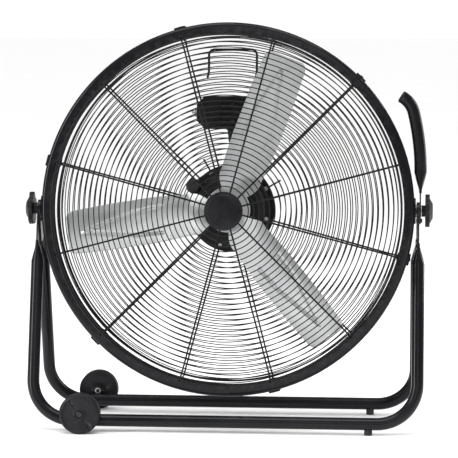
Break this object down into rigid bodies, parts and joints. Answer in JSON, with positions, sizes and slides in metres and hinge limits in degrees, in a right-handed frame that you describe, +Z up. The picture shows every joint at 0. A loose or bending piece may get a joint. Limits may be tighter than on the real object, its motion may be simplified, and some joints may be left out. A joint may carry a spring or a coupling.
{
  "type": "tilting floor fan",
  "caption": "Large wire-guarded drum fan that tilts between clamping knobs on a wheeled stand of bent steel tubes, with a lifting handle and a rear speed dial.",
  "frame": {"origin": "on the floor, midway between the two rails and straight under the tilt axis", "axes": "+X along the tilt axis towards the lifting handle, +Y from the guard with the badge to the motor side, so the air leaves towards -Y, +Z up"},
  "size_m": [0.928, 0.3635, 0.9175],
  "materials": {
    "frame_paint": "gloss black powder coat on bent steel tube",
    "hoop_paint": "gloss black enamel on rolled sheet steel",
    "guard_wire": "black plastic-dipped steel wire",
    "blade_metal": "satin rolled aluminium with faint grain",
    "cast_paint": "semi-gloss black enamel on die-cast motor shells",
    "black_plastic": "fine-grained black moulding",
    "badge_plastic": "polished black moulding with a grained rim",
    "knob_plastic": "hard black moulding with a fine grain",
    "wheel_plastic": "charcoal moulding, scuffed on the tread",
    "grey_plastic": "light grey moulding",
    "black_rubber": "dull black rubber",
    "zinc_steel": "bright zinc plate",
    "black_steel": "black finished fasteners",
    "copper_wire": "varnished copper winding wire",
    "can_metal": "dark anodised capacitor can",
    "core_steel": "stacked electrical steel",
    "bearing_steel": "ground bearing rings"
  },
  "bodies": {
    "stand": {"front_frame": "frame_paint", "rear_frame": "frame_paint", "lift_handle": "frame_paint", "handle_cap": "black_plastic", "frame_rivets": "black_steel", "friction_washers": "black_plastic", "clamp_washers": "zinc_steel", "wheel_brackets": "frame_paint", "wheel_axles": "black_steel", "axle_nuts": "zinc_steel", "feet": "black_rubber"},
    "front_wheel": {"front_wheel": "wheel_plastic"},
    "rear_wheel": {"rear_wheel": "wheel_plastic"},
    "right_knob": {"tilt_knob_right": "knob_plastic", "knob_insert_right": "zinc_steel"},
    "left_knob": {"tilt_knob_left": "knob_plastic", "knob_insert_left": "zinc_steel"},
    "drum": {"pivot_bolt_right": "zinc_steel", "pivot_bolt_left": "zinc_steel", "drum_hoop": "hoop_paint", "pivot_pads": "hoop_paint", "front_guard": "guard_wire", "rear_guard": "guard_wire", "badge_plate": "guard_wire", "badge_cap": "badge_plastic", "guard_clips": "black_plastic", "rim_hooks": "black_steel", "clip_screws": "black_steel", "motor_front_shell": "cast_paint", "motor_rear_shell": "cast_paint", "front_bearing": "bearing_steel", "rear_bearing": "bearing_steel", "motor_stator": "core_steel", "motor_windings": "copper_wire", "motor_bolts": "zinc_steel", "run_capacitor": "can_metal", "capacitor_clip": "black_steel", "mount_ring": "guard_wire", "mount_screws": "zinc_steel", "mount_nuts": "zinc_steel", "control_box": "black_plastic", "box_lid": "black_plastic", "lid_screws": "black_steel", "box_strap": "guard_wire", "strap_bolts": "black_steel", "speed_switch": "black_plastic", "lead_gland": "black_rubber", "mains_gland": "black_rubber", "motor_gland": "black_rubber", "motor_lead": "black_rubber", "grab_handle": "guard_wire"},
    "dial": {"speed_dial": "grey_plastic"},
    "rotor": {"fan_blade": "blade_metal", "blade_hub": "zinc_steel", "hub_setscrew": "black_steel", "hub_rivets": "zinc_steel", "motor_shaft": "bearing_steel", "rotor_core": "core_steel"}
  },
  "joints": [
    {"name": "head_tilt", "type": "hinge", "parent": "stand", "child": "drum", "pos_m": [0, 0, 0.492], "axis": [1, 0, 0], "range_deg": [-86.2, 93.8]},
    {"name": "blade_spin", "type": "hinge", "parent": "drum", "child": "rotor", "pos_m": [0, 0, 0.492], "axis": [0, 0.9978, -0.0663], "continuous": true},
    {"name": "front_wheel_spin", "type": "hinge", "parent": "stand", "child": "front_wheel", "pos_m": [-0.32, -0.157, 0.0455], "axis": [0, 1, 0], "continuous": true},
    {"name": "rear_wheel_spin", "type": "hinge", "parent": "stand", "child": "rear_wheel", "pos_m": [-0.32, 0.157, 0.0455], "axis": [0, 1, 0], "continuous": true},
    {"name": "right_knob_turn", "type": "hinge", "parent": "drum", "child": "right_knob", "pos_m": [0.45, 0, 0.492], "axis": [1, 0, 0], "range_deg": [0, 360]},
    {"name": "left_knob_turn", "type": "hinge", "parent": "drum", "child": "left_knob", "pos_m": [-0.45, 0, 0.492], "axis": [-1, 0, 0], "range_deg": [0, 360]},
    {"name": "speed_dial_turn", "type": "hinge", "parent": "drum", "child": "dial", "pos_m": [-0.0833, 0.16008, 0.70486], "axis": [-1, 0, 0], "range_deg": [0, 135]}
  ]
}
